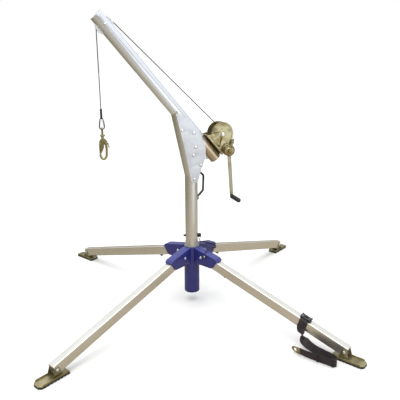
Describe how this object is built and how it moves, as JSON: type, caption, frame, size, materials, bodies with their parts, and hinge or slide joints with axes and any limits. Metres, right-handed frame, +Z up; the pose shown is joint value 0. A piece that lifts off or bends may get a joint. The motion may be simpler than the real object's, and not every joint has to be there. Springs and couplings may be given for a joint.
{
  "type": "portable rescue davit",
  "caption": "Leaning mast and boom with a geared hand winch, wire rope and swivel snap hook, on a folding cross base with hinged rubber-soled feet.",
  "frame": {"origin": "on the mast's axis at floor level, the centre of the bounding box's bottom", "axes": "+Z up along the mast's lower part, -X towards the boom's tip, -Y towards the crank"},
  "size_m": [2.0368, 2.0368, 1.7337],
  "materials": {
    "blue_powder_coat": "satin",
    "natural_nylon": "matt",
    "bright_steel": "polished",
    "mill_aluminium": "mill",
    "plate_aluminium": "brushed",
    "black_rubber": "matt",
    "olive_zinc": "plated",
    "gold_zinc": "plated",
    "black_plastic": "satin",
    "galvanised_wire": "stranded",
    "black_webbing": "woven"
  },
  "bodies": {
    "base": {"hub": "blue_powder_coat", "upper_bush": "natural_nylon", "lower_bush": "natural_nylon", "leg_pivot_bolt_1": "bright_steel", "leg_pivot_bolt_2": "bright_steel", "leg_pivot_bolt_3": "bright_steel", "leg_pivot_bolt_4": "bright_steel", "lanyard_clip": "black_plastic", "lanyard": "black_plastic"},
    "mast": {"mast_tube": "mill_aluminium", "boom_tube": "mill_aluminium", "side_plate_near": "plate_aluminium", "side_plate_far": "plate_aluminium", "plate_bolt_1": "bright_steel", "plate_bolt_2": "bright_steel", "plate_bolt_3": "bright_steel", "plate_bolt_4": "bright_steel", "plate_bolt_5": "bright_steel", "plate_bolt_6": "bright_steel", "carry_handle": "black_plastic", "sheave_axle": "bright_steel", "rope_keeper": "bright_steel", "rope_run": "galvanised_wire", "rope_fall": "galvanised_wire", "winch_frame": "gold_zinc", "drum_axle": "bright_steel"},
    "sheave": {"head_sheave": "bright_steel"},
    "drum": {"winch_drum": "gold_zinc", "rope_winding": "galvanised_wire"},
    "crank": {"pinion_shaft": "bright_steel", "crank_arm": "gold_zinc", "ratchet_wheel": "olive_zinc"},
    "grip": {"crank_grip": "black_plastic"},
    "pawl": {"pawl": "olive_zinc"},
    "rope_end": {"rope_eye": "black_plastic"},
    "bail": {"swivel_bail": "olive_zinc"},
    "hook": {"hook_body": "olive_zinc"},
    "gate": {"hook_gate": "olive_zinc"},
    "lock": {"gate_lock": "olive_zinc"},
    "pin": {"mast_pin": "black_plastic"},
    "strap_lever": {"buckle_lever": "bright_steel"},
    "leg_1": {"leg_tube_1": "mill_aluminium", "leg_bumper_1": "black_rubber"},
    "foot_1": {"foot_shoe_1": "olive_zinc", "foot_pad_1": "black_rubber"},
    "leg_2": {"leg_tube_2": "mill_aluminium", "leg_bumper_2": "black_rubber"},
    "foot_2": {"foot_shoe_2": "olive_zinc", "foot_pad_2": "black_rubber"},
    "leg_3": {"leg_tube_3": "mill_aluminium", "leg_bumper_3": "black_rubber"},
    "foot_3": {"foot_shoe_3": "olive_zinc", "foot_pad_3": "black_rubber"},
    "leg_4": {"leg_tube_4": "mill_aluminium", "leg_bumper_4": "black_rubber", "leg_strap": "black_webbing", "strap_buckle": "black_plastic", "strap_end": "gold_zinc"},
    "foot_4": {"foot_shoe_4": "olive_zinc", "foot_pad_4": "black_rubber"}
  },
  "joints": [
    {"name": "mast_swivel", "type": "hinge", "parent": "base", "child": "mast", "pos_m": [0, 0, 0.08], "axis": [0, 0, 1], "range_deg": [-175, 175]},
    {"name": "leg_fold_1", "type": "hinge", "parent": "base", "child": "leg_1", "pos_m": [0.08173, 0.04438, 0.319], "axis": [-0.4772, 0.8788, 0], "range_deg": [0, 70]},
    {"name": "foot_tilt_1", "type": "hinge", "parent": "leg_1", "child": "foot_1", "pos_m": [0.91485, 0.49672, 0.052], "axis": [-0.4772, 0.8788, 0], "range_deg": [-45, 20]},
    {"name": "leg_fold_2", "type": "hinge", "parent": "base", "child": "leg_2", "pos_m": [-0.04438, 0.08173, 0.319], "axis": [-0.8788, -0.4772, 0], "range_deg": [0, 70]},
    {"name": "foot_tilt_2", "type": "hinge", "parent": "leg_2", "child": "foot_2", "pos_m": [-0.49672, 0.91485, 0.052], "axis": [-0.8788, -0.4772, 0], "range_deg": [-45, 20]},
    {"name": "leg_fold_3", "type": "hinge", "parent": "base", "child": "leg_3", "pos_m": [-0.08173, -0.04438, 0.319], "axis": [0.4772, -0.8788, 0], "range_deg": [0, 70]},
    {"name": "foot_tilt_3", "type": "hinge", "parent": "leg_3", "child": "foot_3", "pos_m": [-0.91485, -0.49672, 0.052], "axis": [0.4772, -0.8788, 0], "range_deg": [-45, 20]},
    {"name": "leg_fold_4", "type": "hinge", "parent": "base", "child": "leg_4", "pos_m": [0.04438, -0.08173, 0.319], "axis": [0.8788, 0.4772, 0], "range_deg": [0, 70]},
    {"name": "foot_tilt_4", "type": "hinge", "parent": "leg_4", "child": "foot_4", "pos_m": [0.49672, -0.91485, 0.052], "axis": [0.8788, 0.4772, 0], "range_deg": [-45, 20]},
    {"name": "crank_turn", "type": "hinge", "parent": "mast", "child": "crank", "pos_m": [0.21412, -0.06, 0.96528], "axis": [0, -1, 0], "range_deg": [-4850, 1350]},
    {"name": "drum_turn", "type": "hinge", "parent": "mast", "child": "drum", "pos_m": [0.18566, 0, 1.05838], "axis": [0, 1, 0], "range_deg": [-1964, 547]},
    {"name": "sheave_turn", "type": "hinge", "parent": "mast", "child": "sheave", "pos_m": [-0.47309, 0, 1.66221], "axis": [0, 1, 0], "range_deg": [-1133, 316]},
    {"name": "hook_lift", "type": "slide", "parent": "mast", "child": "rope_end", "axis": [0, 0, 1], "range_m": [-0.8405, 0.2345], "deforming": ["rope_fall"]},
    {"name": "bail_tilt", "type": "hinge", "parent": "rope_end", "child": "bail", "pos_m": [-0.51559, 0, 1.1225], "axis": [1, 0, 0], "range_deg": [-30, 30]},
    {"name": "hook_swivel", "type": "hinge", "parent": "bail", "child": "hook", "pos_m": [-0.51559, 0, 1.0877], "axis": [0, 0, 1], "continuous": true},
    {"name": "gate_open", "type": "hinge", "parent": "hook", "child": "gate", "pos_m": [-0.53063, 0.00375, 1.0492], "axis": [-0.2419, -0.9703, 0], "range_deg": [0, 24], "stiffness_Nm_per_rad": 0.02, "springref_deg": -20.05},
    {"name": "lock_squeeze", "type": "hinge", "parent": "hook", "child": "lock", "pos_m": [-0.49327, -0.00556, 1.0517], "axis": [0.2419, 0.9703, 0], "range_deg": [0, 7], "stiffness_Nm_per_rad": 0.03, "springref_deg": -11.46},
    {"name": "grip_spin", "type": "hinge", "parent": "crank", "child": "grip", "pos_m": [0.23649, -0.12, 0.68116], "axis": [0, -1, 0], "continuous": true},
    {"name": "pawl_swing", "type": "hinge", "parent": "mast", "child": "pawl", "pos_m": [0.24182, -0.0558, 1.0123], "axis": [0, 1, 0], "range_deg": [0, 25], "stiffness_Nm_per_rad": 0.03, "springref_deg": -17.19},
    {"name": "pin_pull", "type": "slide", "parent": "mast", "child": "pin", "axis": [0.9397, -0.342, 0], "range_m": [0, 0.092]},
    {"name": "buckle_open", "type": "hinge", "parent": "leg_4", "child": "strap_lever", "pos_m": [0.39616, -0.70448, 0.16028], "axis": [-0.4593, 0.8459, 0.2711], "range_deg": [0, 110]}
  ],
  "couplings": [
    {"joint": "drum_turn", "follows": "crank_turn", "ratio": 0.40476},
    {"joint": "sheave_turn", "follows": "crank_turn", "ratio": 0.23333},
    {"joint": "hook_lift", "follows": "crank_turn", "m_per_rad": 0.0099167}
  ]
}
